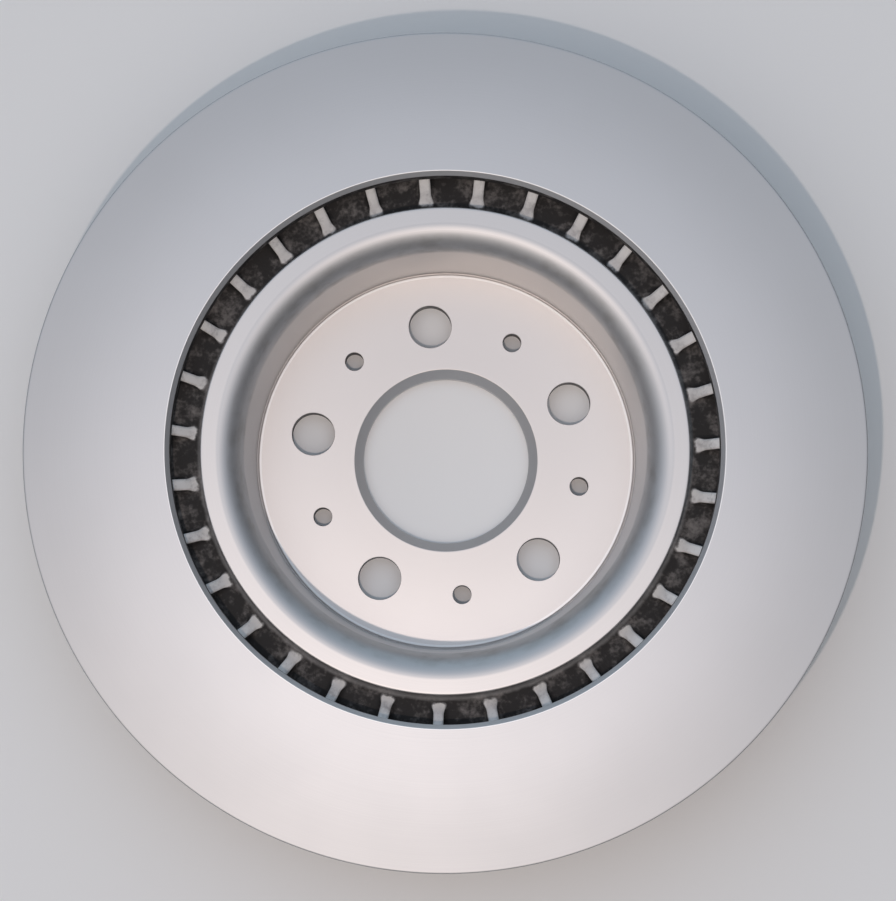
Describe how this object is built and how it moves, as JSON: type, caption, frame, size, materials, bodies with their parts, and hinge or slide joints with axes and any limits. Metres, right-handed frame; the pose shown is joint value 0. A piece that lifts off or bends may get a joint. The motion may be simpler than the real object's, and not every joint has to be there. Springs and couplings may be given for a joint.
{
  "type": "brake disc",
  "caption": "Ventilated brake disc cast in one piece: two flat friction plates joined by straight radial vanes, and a deep bell with stud holes and a chamfered centre bore.",
  "frame": {"origin": "centre of the disc in the plane of the bell's wheel face, on which the disc lies", "axes": "+Z along the axis of rotation, from the wheel side to the vehicle side; one stud hole lies on +Y"},
  "size_m": [0.322, 0.322, 0.06],
  "materials": {
    "coated_iron": "pale silver-grey corrosion coating, satin, with fine turned rings under it, and dark cast skin left bare inside the vents"
  },
  "bodies": {
    "root": {"brake_disc": "coated_iron"}
  },
  "joints": []
}
